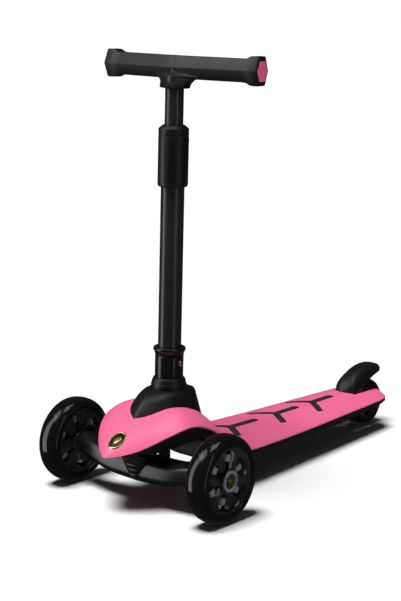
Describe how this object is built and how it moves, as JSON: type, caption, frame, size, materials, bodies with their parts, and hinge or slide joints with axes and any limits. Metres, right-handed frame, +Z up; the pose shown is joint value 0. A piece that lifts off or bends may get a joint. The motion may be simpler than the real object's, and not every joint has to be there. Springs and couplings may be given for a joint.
{
  "type": "kick scooter",
  "caption": "Three-wheeled lean-to-steer kick scooter for a small child, with a crowned deck, a T-bar on a height clamp, a sprung rear brake fender and spoked front wheels.",
  "frame": {"origin": "on the ground under the middle of the overall box", "axes": "+X is forward, from the rear wheel to the nose, +Y is the rider's left, +Z is up"},
  "size_m": [0.651, 0.3, 0.6036],
  "materials": {
    "pink_plastic": "satin",
    "cap_pink": "satin",
    "black_plastic": "satin",
    "gloss_black": "gloss",
    "bar_black": "fine grain",
    "clamp_black": "satin",
    "pad_rubber": "matt",
    "buffer_rubber": "matt",
    "badge_gold": "polished",
    "chrome": "polished",
    "steel": "brushed",
    "bronze": "satin",
    "black_tube": "satin",
    "smoked_tyre": "gloss",
    "hub_black": "satin",
    "light_block": "satin",
    "clear_cap": "gloss"
  },
  "bodies": {
    "deck": {"chassis": "black_plastic", "deck_cover": "pink_plastic", "grip_pad_front": "pad_rubber", "grip_pad_middle": "pad_rubber", "grip_pad_rear": "pad_rubber", "nose_badge": "badge_gold", "column_boot": "black_plastic", "neck_sleeve": "gloss_black", "neck_collar": "black_plastic", "neck_ring": "gloss_black", "button_spring": "steel", "lower_tube": "black_tube", "tube_bushing": "black_plastic", "clamp_collar": "clamp_black", "clamp_bolt": "steel", "lever_pin": "steel", "kingpin": "steel", "thrust_washer": "steel", "steering_buffers": "buffer_rubber", "rear_spacer": "steel", "rear_axle": "steel", "fender_pin": "steel", "fender_spring": "steel", "cover_screws": "steel"},
    "truck": {"axle_beam": "gloss_black", "beam_fairing": "black_plastic", "kingpin_bushes": "bronze", "axle_bolt_left": "steel", "axle_bolt_right": "steel", "bearing_spacer_left": "steel", "bearing_spacer_right": "steel"},
    "wheel_left": {"tyre_left": "smoked_tyre", "hub_left": "hub_black", "bearings_left": "steel", "lights_left": "light_block", "hub_cap_left": "clear_cap"},
    "wheel_right": {"tyre_right": "smoked_tyre", "hub_right": "hub_black", "bearings_right": "steel", "lights_right": "light_block", "hub_cap_right": "clear_cap"},
    "wheel_rear": {"rear_tyre": "smoked_tyre", "rear_hub": "hub_black", "rear_bearings": "steel"},
    "handlebar": {"upper_tube": "black_tube", "tube_foot": "black_plastic", "bar_core": "steel", "bar_boss": "bar_black", "boss_screw": "steel", "grip_left": "bar_black", "grip_right": "bar_black", "end_cap_left": "cap_pink", "end_cap_right": "cap_pink"},
    "lever": {"clamp_lever": "clamp_black"},
    "button": {"release_button": "chrome"},
    "brake": {"brake_fender": "black_plastic", "brake_block": "steel"}
  },
  "joints": [
    {"name": "lean_steer", "type": "hinge", "parent": "deck", "child": "truck", "pos_m": [0.2435, 0, 0.047], "axis": [0.5, 0, 0.866], "range_deg": [-14, 14], "stiffness_Nm_per_rad": 30, "deforming": ["steering_buffers"]},
    {"name": "wheel_left_spin", "type": "hinge", "parent": "truck", "child": "wheel_left", "pos_m": [0.2435, 0.1325, 0.06], "axis": [0, 1, 0], "continuous": true},
    {"name": "wheel_right_spin", "type": "hinge", "parent": "truck", "child": "wheel_right", "pos_m": [0.2435, -0.1325, 0.06], "axis": [0, 1, 0], "continuous": true},
    {"name": "wheel_rear_spin", "type": "hinge", "parent": "deck", "child": "wheel_rear", "pos_m": [-0.2875, 0, 0.038], "axis": [0, 1, 0], "continuous": true},
    {"name": "bar_height", "type": "slide", "parent": "deck", "child": "handlebar", "axis": [0, 0, 1], "range_m": [-0.046, 0.14]},
    {"name": "lever_open", "type": "hinge", "parent": "deck", "child": "lever", "pos_m": [0.1747, -0.013, 0.487], "axis": [-1, 0, 0], "range_deg": [0, 110]},
    {"name": "button_press", "type": "slide", "parent": "deck", "child": "button", "axis": [0, -1, 0], "range_m": [0, 0.0035], "stiffness_N_per_m": 800, "deforming": ["button_spring"]},
    {"name": "brake_press", "type": "hinge", "parent": "deck", "child": "brake", "pos_m": [-0.2435, 0, 0.0518], "axis": [0, -1, 0], "range_deg": [0, 2], "stiffness_Nm_per_rad": 8}
  ]
}
